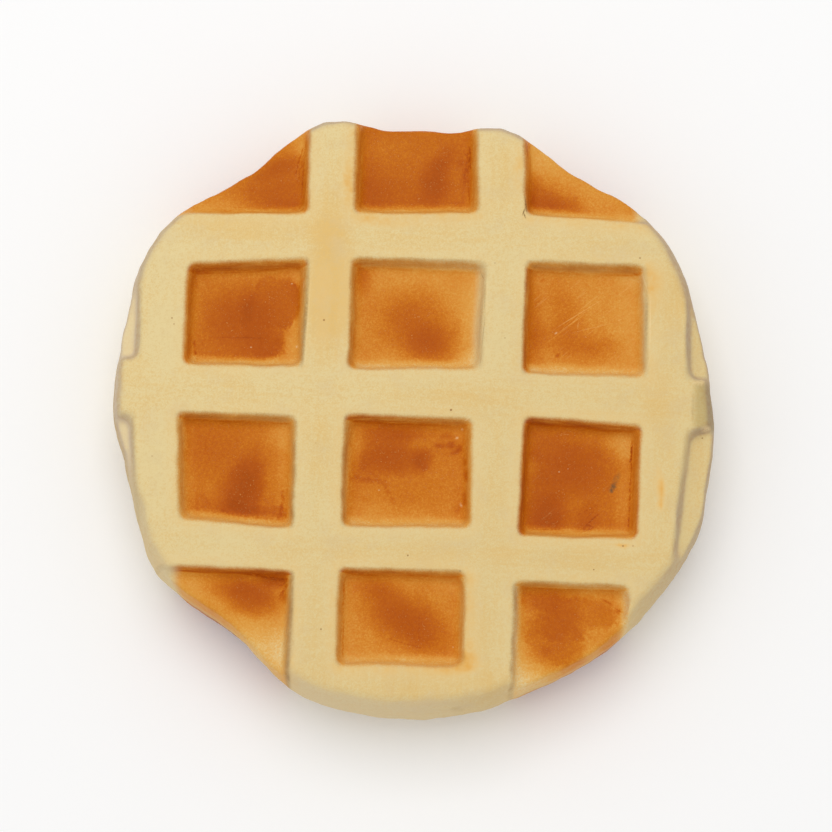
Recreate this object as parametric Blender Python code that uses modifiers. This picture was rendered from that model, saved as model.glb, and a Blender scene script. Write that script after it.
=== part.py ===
# A toy copy of a Belgian waffle: one round, soft-moulded slab with the same grid of wells on
# both faces. It lies flat on the crests of its ribs, with the origin at the middle of its
# underside, +X along the rows of wells and +Z up.

import math

import bmesh
import bpy
from mathutils import Vector

MM = 0.001

# Driving dimensions, in millimetres
THICKNESS = 20.0
WELL_DEPTH = 3.0
WALL_RUN = 1.45
FLOOR_CORNER = 1.1
RIM_ROUND = 2.8
RIM_STEPS = 10
RIM_SIDES = 96
WALL_STEPS = 5
CORNER_STEPS = 3
LIP_OVERCUT = 0.06
CUTTER_HEAD = 2.0

# The widest line of the rim, as (bearing in degrees from +X, radius in millimetres) at each crest
# and hollow. It bulges where a rib ends and draws in where a well runs out through the rim.
RIM_STATIONS = [
    (12, 49.7), (38, 51.3), (58, 48.5), (74, 50.8), (86, 47.8), (96, 48.0), (109, 51.7), (127, 48.9),
    (146, 52.2), (173, 49.9), (184, 49.5), (191, 48.5), (202, 48.7), (212, 49.8), (233, 46.9),
    (253, 50.2), (282, 50.2), (295, 49.7), (314, 50.6), (337, 51.2), (351, 50.2),
]

# The grid, as (low edge, high edge) of each column and row of wells at the lip, in millimetres.
# Past OPEN a well runs out through the rim.
OPEN = 70.0
COLUMNS = [(-OPEN, -45.2), (-38.3, -18.5), (-11.2, 10.2), (17.6, 37.5), (44.3, OPEN)]
ROWS = [(32.0, OPEN), (5.8, 24.6), (-20.7, -1.8), (-42.8, -27.2)]

# Every well, by column and row. "open" names the sides that run out through the rim, and the
# corner entries say how far the hand-carved corner lies from the grid, in millimetres.
WELLS = {
    (1, 0): {"open": "left", "low_right": (0.2, -0.8), "top_right": (-0.5, 0.0),
             "low_left": (0.0, -1.7)},
    (2, 0): {"low_left": (0.2, -0.3), "low_right": (-0.3, 0.4), "top_right": (-2.1, 0.0)},
    (3, 0): {"open": "right", "low_left": (-0.2, 0.6), "low_right": (0.0, -2.0),
             "top_left": (-2.1, 0.0)},
    (0, 1): {"top_right": (-0.3, 0.0), "low_right": (0.4, 0.0), "low_left": (0.0, 0.3)},
    (1, 1): {"top_left": (0.2, -2.0), "top_right": (0.5, -0.4), "low_left": (0.2, -0.5),
             "low_right": (0.2, -0.2)},
    (2, 1): {"top_left": (0.1, 0.0), "top_right": (1.2, 0.0), "low_left": (0.3, -0.3),
             "low_right": (0.9, 0.3)},
    (3, 1): {"top_left": (0.1, 0.4), "top_right": (0.0, 0.3), "low_right": (0.8, 0.0)},
    (4, 1): {"top_left": (-0.3, 1.0), "low_left": (0.1, -0.4)},
    (0, 2): {"top_left": (0.0, -0.8), "top_right": (-0.2, -0.8), "low_right": (1.1, 0.0)},
    (1, 2): {"top_left": (-0.3, -0.4), "top_right": (-0.4, -0.4), "low_left": (0.9, 0.5),
             "low_right": (-0.1, -0.5)},
    (2, 2): {"top_left": (0.0, 0.1), "top_right": (-0.3, 0.1), "low_left": (0.1, 0.3),
             "low_right": (0.0, 0.6)},
    (3, 2): {"top_left": (0.5, 0.7), "low_left": (-0.1, -0.4), "low_right": (-0.2, -0.2)},
    (4, 2): {"top_left": (0.2, -0.6), "top_right": (0.0, 7.0), "low_left": (-1.9, -3.9),
             "low_right": (0.0, -3.9)},
    (1, 3): {"open": "left low", "top_left": (0.0, 0.1), "top_right": (0.2, -0.4)},
    (2, 3): {"top_left": (0.0, 0.3), "top_right": (-0.6, 0.4), "low_left": (0.2, -0.2),
             "low_right": (-0.5, 0.2)},
    (3, 3): {"open": "low", "top_left": (-0.3, -0.8), "top_right": (-1.4, -0.9),
             "low_left": (-0.4, 0.0)},
}

CREAM = (0.75, 0.57, 0.28, 1.0)
TOASTED = (0.56, 0.18, 0.03, 1.0)


def clear_scene():
    for old in list(bpy.data.objects):
        bpy.data.objects.remove(old)


def make_collection(name):
    collection = bpy.data.collections.new(name)
    bpy.context.scene.collection.children.link(collection)
    return collection


def make_material(name, colour, roughness):
    material = bpy.data.materials.new(name)
    material.use_nodes = True
    shader = material.node_tree.nodes["Principled BSDF"]
    shader.inputs["Base Color"].default_value = colour
    shader.inputs["Roughness"].default_value = roughness
    shader.inputs["Metallic"].default_value = 0.0
    return material


def eased(low, high, share):
    """A smooth step from low to high that starts and ends level."""
    return low + (high - low) * (1 - math.cos(math.pi * share)) / 2


def rim_radius(bearing):
    """Radius of the rim's widest line, eased from one crest or hollow to the next."""
    bearing %= 360
    last_bearing, last_radius = RIM_STATIONS[-1]
    before = (last_bearing - 360, last_radius)
    for after in RIM_STATIONS + [(RIM_STATIONS[0][0] + 360, RIM_STATIONS[0][1])]:
        if bearing <= after[0]:
            break
        before = after
    share = (bearing - before[0]) / (after[0] - before[0])
    return eased(before[1], after[1], share)


def rim_points():
    """The rim's widest line, about the grid's own zero."""
    points = []
    for i in range(RIM_SIDES):
        bearing = 360 * i / RIM_SIDES
        radius = rim_radius(bearing)
        turn = math.radians(bearing)
        points.append((radius * math.cos(turn), radius * math.sin(turn)))
    return points


def plan_centre():
    """Middle of the rim's box, which the origin stands on."""
    xs, ys = zip(*rim_points())
    return (min(xs) + max(xs)) / 2, (min(ys) + max(ys)) / 2


def make_blank(material, collection):
    """The slab before its wells: a half-round rim turned on a screw, drawn in and out to the
    rim's line, and capped flat above and below."""
    nominal = 50.0
    profile = bmesh.new()
    last = None
    for i in range(RIM_STEPS + 1):
        tilt = math.pi / 2 - math.pi * i / RIM_STEPS
        reach = nominal - RIM_ROUND * (1 - math.cos(tilt))
        point = profile.verts.new((reach * MM, 0, THICKNESS / 2 * math.sin(tilt) * MM))
        if last:
            profile.edges.new((last, point))
        last = point
    mesh = bpy.data.meshes.new("rim_profile")
    profile.to_mesh(mesh)
    profile.free()

    turned = bpy.data.objects.new("rim_profile", mesh)
    collection.objects.link(turned)
    screw = turned.modifiers.new("turn", "SCREW")
    screw.axis = "Z"
    screw.angle = math.tau
    screw.steps = RIM_SIDES
    screw.render_steps = RIM_SIDES
    screw.use_merge_vertices = True
    screw.merge_threshold = 0.00001
    bpy.context.view_layer.update()
    seen = turned.evaluated_get(bpy.context.evaluated_depsgraph_get())
    band = bpy.data.meshes.new_from_object(seen)
    bpy.data.objects.remove(turned)

    bm = bmesh.new()
    bm.from_mesh(band)
    bmesh.ops.holes_fill(bm, edges=[e for e in bm.edges if e.is_boundary], sides=0)
    bmesh.ops.recalc_face_normals(bm, faces=bm.faces)
    for vert in bm.verts:
        bearing = math.degrees(math.atan2(vert.co.y, vert.co.x))
        vert.co.xy *= rim_radius(bearing) / nominal
    bm.to_mesh(band)
    bm.free()

    blank = bpy.data.objects.new("toy_waffle", band)
    blank.data.materials.clear()
    blank.data.materials.append(material)
    collection.objects.link(blank)
    return blank


def well_corners(column, row, notes):
    """The four corners of a well at its lip, anticlockwise from the low left."""
    left, right = COLUMNS[column]
    low, top = ROWS[row]
    sides = notes.get("open", "").split()
    left = -OPEN if "left" in sides else left
    right = OPEN if "right" in sides else right
    low = -OPEN if "low" in sides else low
    corners = []
    for name, x, y in (("low_left", left, low), ("low_right", right, low),
                       ("top_right", right, top), ("top_left", left, top)):
        shift_x, shift_y = notes.get(name, (0.0, 0.0))
        corners.append(Vector((x + shift_x, y + shift_y)))
    return corners


def make_cutter(name, corners, material, collection):
    """The room inside one well, made from its floor upwards: a quad with rounded corners, then
    eased steps that flare through the wall into the lip, and a straight head above the face."""
    middle = sum(corners, Vector((0, 0))) / 4
    half = Vector((max(c.x for c in corners) - min(c.x for c in corners),
                   max(c.y for c in corners) - min(c.y for c in corners))) / 2
    floor_z = THICKNESS / 2 - WELL_DEPTH
    inset = Vector((1 - WALL_RUN / half.x, 1 - WALL_RUN / half.y))

    bm = bmesh.new()
    loop = []
    for corner in corners:
        spot = middle + (corner - middle) * inset
        loop.append(bm.verts.new((spot.x * MM, spot.y * MM, floor_z * MM)))
    bm.faces.new(loop)
    bmesh.ops.bevel(bm, geom=loop, offset=FLOOR_CORNER * MM, segments=CORNER_STEPS,
                    profile=0.5, affect="VERTICES")
    bm.faces.ensure_lookup_table()
    cap = bm.faces[0]
    grown = 0.0
    levels = [(WALL_RUN * k / WALL_STEPS, eased(0, WELL_DEPTH + LIP_OVERCUT, k / WALL_STEPS))
              for k in range(1, WALL_STEPS + 1)]
    levels.append((WALL_RUN, WELL_DEPTH + CUTTER_HEAD))
    for run, rise in levels:
        made = bmesh.ops.extrude_face_region(bm, geom=[cap])["geom"]
        stretch = Vector(((half.x - WALL_RUN + run) / (half.x - WALL_RUN + grown),
                          (half.y - WALL_RUN + run) / (half.y - WALL_RUN + grown)))
        for vert in [g for g in made if isinstance(g, bmesh.types.BMVert)]:
            vert.co.xy = middle * MM + (vert.co.xy - middle * MM) * stretch
            vert.co.z = (floor_z + rise) * MM
        if grown:
            bmesh.ops.delete(bm, geom=[cap], context="FACES_ONLY")
        cap = [g for g in made if isinstance(g, bmesh.types.BMFace)][0]
        grown = run
    bmesh.ops.recalc_face_normals(bm, faces=bm.faces)
    mesh = bpy.data.meshes.new(name)
    bm.to_mesh(mesh)
    bm.free()

    cutter = bpy.data.objects.new(name, mesh)
    cutter.data.materials.append(material)
    cutter.hide_render = True
    cutter.display_type = "WIRE"
    collection.objects.link(cutter)
    return cutter


def cut_wells(blank, cutters):
    """Takes the wells out of the upper face, and repeats that half below the middle plane."""
    cut = blank.modifiers.new("wells", "BOOLEAN")
    cut.operation = "DIFFERENCE"
    cut.operand_type = "COLLECTION"
    cut.collection = cutters
    cut.solver = "EXACT"
    cut.material_mode = "TRANSFER"
    below = blank.modifiers.new("underside", "MIRROR")
    below.use_axis = (False, False, True)
    below.use_bisect_axis = (False, False, True)
    below.merge_threshold = 0.00001


def main():
    clear_scene()
    parts = make_collection("toy_waffle")
    cutters = make_collection("well_cutters")
    cream = make_material("cream_rubber", CREAM, 0.55)
    toasted = make_material("toasted_paint", TOASTED, 0.45)

    blank = make_blank(cream, parts)
    for (column, row), notes in WELLS.items():
        corners = well_corners(column, row, notes)
        at_side = column in (0, len(COLUMNS) - 1)
        make_cutter(f"well_{column}_{row}", corners, cream if at_side else toasted, cutters)
    cut_wells(blank, cutters)

    centre_x, centre_y = plan_centre()
    shift = Vector((-centre_x * MM, -centre_y * MM, THICKNESS / 2 * MM))
    for piece in [blank] + list(cutters.objects):
        piece.location = shift


main()
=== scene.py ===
# A toy copy of a Belgian waffle: one soft-moulded slab of cream rubber, with brown paint sprayed
# and dabbed into its wells. The camera looks down on it from nearly straight above.
import math
import random

import bpy
import numpy as np
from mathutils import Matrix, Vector


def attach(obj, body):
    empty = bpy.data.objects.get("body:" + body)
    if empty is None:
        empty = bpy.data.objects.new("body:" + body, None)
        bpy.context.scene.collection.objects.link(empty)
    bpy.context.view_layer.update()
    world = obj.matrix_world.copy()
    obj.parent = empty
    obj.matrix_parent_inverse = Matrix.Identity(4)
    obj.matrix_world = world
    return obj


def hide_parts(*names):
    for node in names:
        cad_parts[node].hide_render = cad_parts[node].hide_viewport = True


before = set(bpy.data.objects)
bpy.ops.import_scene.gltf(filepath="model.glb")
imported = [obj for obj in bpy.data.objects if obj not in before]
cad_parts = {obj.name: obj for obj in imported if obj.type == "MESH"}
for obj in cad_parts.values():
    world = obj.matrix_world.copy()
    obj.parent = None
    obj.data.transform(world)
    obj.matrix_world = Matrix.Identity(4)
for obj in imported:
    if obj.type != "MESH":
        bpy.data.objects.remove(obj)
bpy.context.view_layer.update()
mm = 0.001
random.seed(8)
thickness = 20.0     # of the waffle, in mm
sides = ("left", "right", "near", "far")
print("stage: frame loaded")


# small helpers

def deselectAll():
    for thing in list(bpy.context.selected_objects):
        thing.select_set(False)


def makeActive(piece):
    deselectAll()
    piece.select_set(True)
    bpy.context.view_layer.objects.active = piece


def addModifier(piece, kind, **values):
    makeActive(piece)
    modifier = piece.modifiers.new(kind.lower(), kind)
    for key, value in values.items():
        setattr(modifier, key, value)
    bpy.ops.object.modifier_apply(modifier=modifier.name)


def linear(red, green, blue):
    # a screen colour, 0 to 255, as Blender wants it
    steps = []
    for value in (red / 255, green / 255, blue / 255):
        steps.append(value / 12.92 if value <= 0.04045 else ((value + 0.055) / 1.055) ** 2.4)
    return (*steps, 1.0)


def ease(low, high, value):
    share = np.clip((value - low) / (high - low), 0.0, 1.0)
    return share * share * (3.0 - 2.0 * share)


# the camera, at the photograph's angle

view = {
    "elevation": 80.0, "azimuth": 2.0, "distance": 480.0,    # degrees and mm
    "pixels": 832, "pixelsPerMm": 6.0, "sensor": 36.0,
    "aimHeight": 10.0, "aimRight": 2.5, "aimUp": 4.0,        # mm, then pixels
    "aimShift": (-0.035, -0.132),
}
tilt, turn = math.radians(view["elevation"]), math.radians(view["azimuth"])
backward = Vector((math.sin(turn) * math.cos(tilt), -math.cos(turn) * math.cos(tilt), math.sin(tilt)))
rightward = (-backward).cross(Vector((0, 0, 1))).normalized()
upward = rightward.cross(-backward)
aim = Vector((*view["aimShift"], view["aimHeight"]))
aim += rightward * view["aimRight"] / view["pixelsPerMm"] + upward * view["aimUp"] / view["pixelsPerMm"]
eye = aim + backward * view["distance"]

bpy.ops.object.camera_add(location=eye * mm, rotation=(-backward).to_track_quat("-Z", "Y").to_euler())
camera = bpy.context.object
camera.name = "camera"
camera.data.sensor_width = view["sensor"]
camera.data.lens = view["sensor"] * view["distance"] * view["pixelsPerMm"] / view["pixels"]
camera.data.clip_start = 0.01
bpy.context.scene.camera = camera


def onFace(pixelX, pixelY, height=thickness):
    # the place on the waffle, in mm, that shows at a pixel of the picture
    across = (pixelX - view["pixels"] / 2) / view["pixelsPerMm"]
    up = (view["pixels"] / 2 - pixelY) / view["pixelsPerMm"]
    ray = rightward * across + upward * up - backward * view["distance"]
    return eye + ray * ((height - eye.z) / ray.z)


print("stage: camera set")


# the slab

slab = {
    "weld": 0.01, "voxel": 0.525, "softenSteps": 3, "soften": 0.5,
    # soft unevenness of the casting, as (size of the waves, height, direction)
    "waves": [(11.0, 0.36, "NORMAL"), (4.2, 0.13, "NORMAL"), (1.5, 0.06, "NORMAL")],
    "drift": [(5.0, 0.17, "X"), (4.6, 0.17, "Y")],     # after the paint, which goes with it
}


def raiseWaves(piece, waves):
    for size, height, direction in waves:
        wave = bpy.data.textures.new("casting_wave", "CLOUDS")
        wave.noise_scale = size * mm
        wave.noise_depth = 1
        addModifier(piece, "DISPLACE", texture=wave, texture_coords="LOCAL", direction=direction,
                    strength=2 * height * mm, mid_level=0.5)


makeActive(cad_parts["toy_waffle"])
bpy.ops.object.duplicate()
waffle = bpy.context.object
waffle.name = "waffle_slab"
waffle.parent = None
for key in list(waffle.keys()):
    del waffle[key]
makeActive(waffle)
bpy.ops.object.mode_set(mode="EDIT")
bpy.ops.mesh.select_all(action="SELECT")
bpy.ops.mesh.remove_doubles(threshold=slab["weld"] * mm)
bpy.ops.object.mode_set(mode="OBJECT")
addModifier(waffle, "REMESH", mode="VOXEL", voxel_size=slab["voxel"] * mm, adaptivity=0.0)
addModifier(waffle, "SMOOTH", factor=slab["soften"], iterations=slab["softenSteps"])
raiseWaves(waffle, slab["waves"])
print("stage: slab cast,", len(waffle.data.polygons), "faces")


# the wells, in mm about the middle of the underside

grid = {
    "columns": [(-75.0, -45.35), (-38.45, -18.65), (-11.35, 10.05), (17.45, 37.35), (44.15, 75.0)],
    "rows": [(32.5, 46.2), (6.3, 25.1), (-20.2, -1.3), (-42.3, -26.7)],
    "corner": 1.5, "nearLip": 0.15,        # how round the paint's corners are, and its start at a near lip
    "farBand": (1.0, 1.05, 1.35, 1.65),    # the far walls' tone lies nearer the lip from row to row
}

# Each well: how far its corners lie from the grid, the sides that run out through the rim, and its
# paint. Places and sizes are shares of the well, from its left and near lips, and strengths are
# densities of paint, about 0.4 for light orange and 1 for dark brown. "base" is the density all over
# the floor, and a well without it is bare. "walls" is left, right, near, far on the left and far on
# the right, the grey of painted shade on the left, right, near and far wall follows it, and "haze"
# is the overspray past the same four lips. "scratches" is how much its floor is scratched. The paint
# starts or ends at a share across the well where "starts" or "ends" says so, and "bare" is the strip
# in mm from the right lip over which it comes in.
# A soft spot is x, y, its reach both ways, its density and how many degrees it leans. A pool with a
# wet edge is its density, how soft the edge is in mm, how the density grows across and up it, and
# its spots, each x, y, reach both ways and a figure from 2, an oval, to 6, nearly square. A stroke
# is x, y to x, y, its half width in mm and its density.
wells = {
    (1, 0): {
        "lowRight": (0.2, -0.8), "topRight": (-0.1, 0.0), "lowLeft": (0.0, -1.15),
        "open": ("left", "far"), "base": 0.55, "walls": (0.4, 0.60, 0.46, 0.5, 0.5),
        "grime": (0, 0.45, 0, 0), "scratches": 0.2,
        "soft": [
            (0.72, 0.34, 0.30, 0.34, 0.14), (0.84, 0.10, 0.20, 0.12, 0.10),
            (0.74, 0.62, 0.22, 0.10, 0.14, 34), (0.16, 0.10, 0.36, 0.18, -0.16),
            (0.94, 0.90, 0.10, 0.20, -0.20), (0.70, 0.03, 0.36, 0.05, 0.06)],
        "pools": [(0.04, 0.7, (0, 0), [(0.70, 0.26, 0.22, 0.18, 2.6)])],
        "strokes": [(0.935, 0.40, 0.965, 0.95, 0.16, 0.20), (0.88, 0.56, 0.93, 0.84, 0.12, 0.16)],
        "haze": (0.0, 0.06, 0.05, 0.0)},
    (2, 0): {
        "lowLeft": (0.2, -0.3), "lowRight": (-0.3, 0.4), "topRight": (-0.95, 0.0),
        "open": ("far",), "base": 0.63, "walls": (0.58, 0.44, 0.36, 0.5, 0.5),
        "grime": (0.75, 0.55, 0, 0),
        "soft": [
            (0.65, 0.46, 0.12, 0.28, 0.18), (0.73, 0.74, 0.08, 0.20, 0.13, -18),
            (0.20, 0.88, 0.26, 0.12, -0.05), (0.50, 0.10, 0.50, 0.10, 0.06), (0.93, 0.55, 0.08, 0.30, 0.02),
            (0.14, 0.30, 0.14, 0.34, 0.08), (0.36, 0.30, 0.34, 0.28, 0.08), (0.86, 0.72, 0.03, 0.05, 0.14),
            (0.90, 0.62, 0.03, 0.04, 0.16), (0.93, 0.76, 0.03, 0.03, 0.16), (0.88, 0.50, 0.02, 0.06, 0.12),
            (0.97, 0.20, 0.06, 0.16, -0.12)],
        "pools": [(0.05, 0.9, (-0.3, 0), [(0.65, 0.44, 0.11, 0.24, 2.2)])],
        "strokes": [(0.93, 0.22, 0.91, 0.80, 0.14, 0.14), (0.88, 0.45, 0.90, 0.72, 0.10, 0.12),
                    (0.93, 0.88, 0.94, 0.66, 0.12, 0.30)],
        "haze": (0.10, 0.04, 0.10, 0.0)},
    (3, 0): {
        "lowLeft": (-0.2, 0.6), "lowRight": (0.0, -0.4), "topLeft": (-0.9, 0.0),
        "open": ("right", "far"), "ends": 0.93, "base": 0.42, "walls": (0.66, 0.3, 0.30, 0.4, 0.4),
        "grime": (0.80, 0, 0, 0), "scratches": 0.2,
        "soft": [
            (0.17, 0.22, 0.26, 0.26, 0.22), (0.34, 0.14, 0.22, 0.13, 0.14, -24),
            (0.06, 0.14, 0.05, 0.20, 0.16), (0.16, 0.84, 0.24, 0.20, -0.14), (0.08, 0.46, 0.06, 0.14, 0.12),
            (0.95, 0.04, 0.24, 0.10, -0.16), (0.05, 0.34, 0.018, 0.03, 0.20),
            (0.08, 0.28, 0.015, 0.03, 0.16), (0.04, 0.20, 0.018, 0.03, 0.22),
            (0.45, 0.52, 0.34, 0.10, -0.04, -30)],
        "pools": [(0.05, 0.6, (0, 0), [(0.24, 0.20, 0.22, 0.18, 2.4)])],
        "strokes": [(0.02, 0.02, 0.50, 0.035, 0.14, 0.10), (-0.012, -0.02, -0.015, 0.14, 0.16, 0.55)],
        "haze": (0.05, 0.0, 0.10, 0.0)},
    (0, 1): {"topRight": (-0.3, 0.0), "lowRight": (0.4, 0.0), "lowLeft": (0.0, 0.3),
             "open": ("left",), "base": 0.0, "walls": (0, 0.02, 0, 0, 0), "grime": (0, 0.4, 0, 0.2)},
    (1, 1): {
        "topLeft": (0.2, -2.0), "topRight": (0.5, -0.4), "lowLeft": (0.2, -0.5),
        "lowRight": (0.2, -0.2), "base": 0.515, "walls": (0.62, 0.30, 0.24, 0.80, 0.58),
        "grime": (0.35, 1.0, 0, 0.50),
        "soft": [
            (0.44, 0.47, 0.32, 0.32, 0.28), (0.50, 0.62, 0.07, 0.16, 0.09), (0.66, 0.34, 0.18, 0.24, 0.04),
            (0.92, 0.18, 0.09, 0.30, -0.20), (0.62, 0.86, 0.40, 0.06, -0.04),
            (0.93, 0.88, 0.08, 0.10, -0.10), (0.30, 0.18, 0.22, 0.12, -0.06), (0.02, 0.78, 0.05, 0.20, 0.16),
            (0.10, 0.50, 0.06, 0.30, -0.05)],
        "pools": [(0.13, 0.30, (0.55, 0.1),
                   [(0.71, 0.60, 0.22, 0.27, 2.3), (0.66, 0.30, 0.17, 0.22, 2.3)]),
                  (0.11, 0.28, (0.1, -0.85),
                   [(0.41, 0.19, 0.35, 0.155, 3.2), (0.64, 0.26, 0.14, 0.22, 2.6)])],
        "strokes": [(0.12, 0.055, 0.66, 0.065, 0.18, 0.26), (0.085, 0.24, 0.12, 0.06, 0.18, 0.24),
                    (0.30, 0.315, 0.62, 0.30, 0.11, 0.12)],
        "haze": (0.04, 0.04, 0.05, 0.05)},
    (2, 1): {
        "topLeft": (0.1, 0.0), "topRight": (1.2, 0.0), "lowLeft": (0.3, -0.3),
        "lowRight": (0.9, 0.3), "base": 0.38, "walls": (0.50, 0.06, 0.16, 0.52, 0.16),
        "grime": (0.70, 0.35, 0, 0.65), "bare": (0.6, 2.3),
        "soft": [
            (0.60, 0.26, 0.17, 0.16, 0.22, -20), (0.47, 0.45, 0.34, 0.26, 0.26, -35),
            (0.06, 0.85, 0.10, 0.16, 0.24), (0.54, 0.70, 0.16, 0.12, 0.05), (0.96, 0.05, 0.14, 0.16, -0.30),
            (0.12, 0.20, 0.14, 0.18, 0.06), (0.92, 0.60, 0.08, 0.50, -0.10), (0.10, 0.55, 0.08, 0.20, 0.04),
            (0.50, 0.02, 0.50, 0.06, -0.08)],
        "pools": [(0.05, 1.1, (0, 0), [(0.52, 0.36, 0.28, 0.24, 2.2)])],
        "haze": (0.06, 0.02, 0.04, 0.04)},
    (3, 1): {
        "topLeft": (0.1, 0.4), "topRight": (0.0, 0.3), "lowRight": (0.8, 0.0),
        "base": 0.41, "walls": (0.66, 0.16, 0.18, 0.40, 0.50),
        "grime": (0.90, 0.60, 0, 0.80), "scratches": 0.9, "bare": (0.15, 0.75),
        "soft": [
            (0.07, 0.42, 0.09, 0.42, 0.20), (0.34, 0.60, 0.14, 0.28, 0.16, 20),
            (0.54, 0.27, 0.24, 0.12, 0.16, 8), (0.26, 0.34, 0.16, 0.16, 0.12),
            (0.86, 0.55, 0.12, 0.46, -0.07), (0.90, 0.90, 0.12, 0.08, -0.10),
            (0.06, 0.03, 0.12, 0.08, -0.30), (0.50, 0.04, 0.50, 0.08, -0.10),
            (0.29, 0.20, 0.014, 0.016, 0.30), (0.16, 0.87, 0.012, 0.012, 0.24),
            (0.06, 0.05, 0.06, 0.04, -0.1)],
        "pools": [(0.04, 0.8, (0, 0), [(0.38, 0.40, 0.26, 0.14, 2.6)])],
        "strokes": [(0.20, 0.32, 0.44, 0.52, 0.08, -0.14), (0.32, 0.44, 0.56, 0.70, 0.08, -0.10)],
        "haze": (0.04, 0.08, 0.03, 0.04)},
    (4, 1): {"topLeft": (-0.3, 1.0), "lowLeft": (0.1, -0.4),
             "open": ("right",), "base": 0.0, "walls": (0.02, 0, 0, 0, 0), "grime": (0.36, 0, 0, 0.10)},
    (0, 2): {"topLeft": (0.0, -0.8), "topRight": (-0.2, -0.8), "lowRight": (1.1, 0.0),
             "open": ("left",), "base": 0.0, "walls": (0, 0.02, 0, 0, 0), "grime": (0, 0.4, 0, 0.3)},
    (1, 2): {
        "topLeft": (-0.3, -0.4), "topRight": (-0.4, -0.4), "lowLeft": (0.9, 0.5),
        "lowRight": (-0.1, -0.5), "base": 0.545, "walls": (0.34, 0.28, 0.26, 0.60, 0.34),
        "grime": (0.50, 1.0, 0, 0.80),
        "soft": [
            (0.53, 0.30, 0.18, 0.22, 0.26, -15), (0.62, 0.52, 0.12, 0.20, 0.14, -20),
            (0.34, 0.66, 0.34, 0.26, 0.12), (0.09, 0.45, 0.06, 0.40, -0.08), (0.90, 0.84, 0.14, 0.14, -0.16),
            (0.90, 0.50, 0.06, 0.34, -0.10), (0.50, 0.02, 0.50, 0.07, -0.20), (0.50, 0.17, 0.34, 0.12, 0.10)],
        "pools": [(0.09, 0.5, (0.3, 0), [(0.56, 0.34, 0.17, 0.26, 2.2)]),
                  (0.08, 0.35, (0.2, -0.35), [(0.52, 0.155, 0.37, 0.075, 4)])],
        "strokes": [(0.882, 0.11, 0.90, 0.34, 0.30, 0.15), (0.60, 0.095, 0.875, 0.09, 0.28, 0.15),
                    (0.36, 0.14, 0.52, 0.11, 0.22, 0.12)],
        "haze": (0.06, 0.04, 0.06, 0.05)},
    (2, 2): {
        "topLeft": (0.0, 0.1), "topRight": (-0.3, 0.1), "lowLeft": (0.1, 0.3),
        "lowRight": (0.0, 0.6), "base": 0.57, "walls": (0.44, 0.40, 0.24, 0.78, 0.50),
        "grime": (1.0, 0.30, 0, 0.60),
        "soft": [
            (0.40, 0.84, 0.22, 0.14, 0.16), (0.50, 0.02, 0.55, 0.07, -0.12), (0.20, 0.22, 0.18, 0.16, -0.07),
            (0.10, 0.78, 0.06, 0.20, -0.10), (0.84, 0.34, 0.18, 0.28, -0.05), (0.38, 0.62, 0.25, 0.12, 0.20),
            (0.90, 0.90, 0.12, 0.08, -0.10), (0.60, 0.62, 0.07, 0.12, 0.10), (0.45, 0.10, 0.50, 0.14, -0.12),
            (0.18, 0.46, 0.12, 0.05, 0.07), (0.56, 0.78, 0.08, 0.05, -0.10, 20),
            (0.75, 0.77, 0.045, 0.022, 0.26), (0.84, 0.78, 0.03, 0.025, 0.34),
            (0.90, 0.745, 0.025, 0.03, 0.34), (0.86, 0.715, 0.03, 0.02, 0.26),
            (0.955, 0.50, 0.02, 0.05, 0.34), (0.95, 0.62, 0.02, 0.03, 0.26), (0.955, 0.30, 0.02, 0.08, 0.28),
            (0.93, 0.09, 0.03, 0.03, 0.22), (0.80, 0.86, 0.06, 0.02, 0.16), (0.90, 0.20, 0.03, 0.03, 0.14)],
        "pools": [(0.06, 0.8, (-0.45, 0.1), [(0.38, 0.64, 0.24, 0.15, 2.2), (0.42, 0.82, 0.16, 0.1, 2.2)]),
                  (0.12, 0.30, (-0.2, 0), [(0.62, 0.60, 0.065, 0.10, 2)])],
        "strokes": [(0.08, 0.455, 0.32, 0.43, 0.34, 0.08), (0.32, 0.43, 0.41, 0.24, 0.34, 0.08)],
        "haze": (0.06, 0.05, 0.04, 0.04)},
    (3, 2): {
        "topLeft": (0.5, 0.7), "lowLeft": (-0.1, -0.4), "lowRight": (-0.2, -0.2),
        "base": 0.64, "walls": (0.84, 0.62, 0.40, 0.92, 0.70),
        "grime": (0.55, 0.30, 0, 0.55), "scratches": 0.35,
        "soft": [
            (0.40, 0.60, 0.30, 0.26, 0.14), (0.26, 0.18, 0.14, 0.18, 0.22), (0.58, 0.16, 0.10, 0.14, 0.12),
            (0.87, 0.84, 0.16, 0.13, -0.26), (0.88, 0.40, 0.09, 0.40, -0.16),
            (0.11, 0.60, 0.07, 0.08, -0.12), (0.50, 0.02, 0.50, 0.08, -0.18),
            (0.62, 0.88, 0.22, 0.08, -0.06), (0.24, 0.42, 0.10, 0.10, 0.05), (0.12, 0.72, 0.05, 0.04, 0.06),
            (0.50, 0.34, 0.10, 0.05, -0.05)],
        "pools": [(0.06, 0.6, (0, 0), [(0.25, 0.20, 0.16, 0.20, 2.6)]),
                  (0.05, 0.7, (0, 0), [(0.42, 0.62, 0.28, 0.20, 2.4)])],
        "strokes": [(0.48, 0.05, 0.62, 0.11, 0.14, 0.30), (0.925, 0.70, 0.93, 0.84, 0.16, 0.50),
                    (0.92, 0.06, 0.935, 0.66, 0.14, 0.20), (0.56, 0.12, 0.66, 0.22, 0.12, 0.20),
                    (0.16, 0.09, 0.34, 0.10, 0.10, 0.22), (0.52, 0.24, 0.60, 0.28, 0.10, 0.16)],
        "haze": (0.06, 0.05, 0.06, 0.06)},
    (4, 2): {"topLeft": (0.2, -0.6), "topRight": (0.0, 7.0), "lowLeft": (-1.9, -3.9), "lowRight": (0.0, -3.9),
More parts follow.
